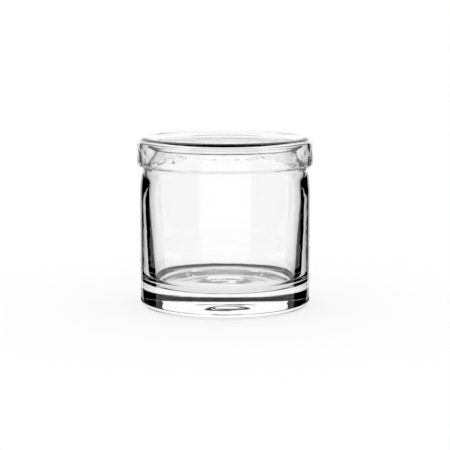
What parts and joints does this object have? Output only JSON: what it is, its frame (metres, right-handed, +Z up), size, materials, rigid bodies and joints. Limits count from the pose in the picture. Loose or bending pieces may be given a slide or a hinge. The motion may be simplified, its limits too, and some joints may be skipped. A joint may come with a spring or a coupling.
{
  "type": "glass storage jar with glass cap",
  "caption": "Squat clear glass storage jar with a thick base, a soft waist under the rim and a loose glass cap with a rolled edge.",
  "frame": {"origin": "centre of the standing ring, on the surface the jar stands on", "axes": "+Z up along the axis the jar and its cap are turned about; the jar looks the same from every side"},
  "size_m": [0.0936, 0.0936, 0.09],
  "materials": {
    "jar_glass": "clear polished",
    "cap_glass": "clear polished"
  },
  "bodies": {
    "root": {"jar": "jar_glass", "cap": "cap_glass"}
  },
  "joints": []
}
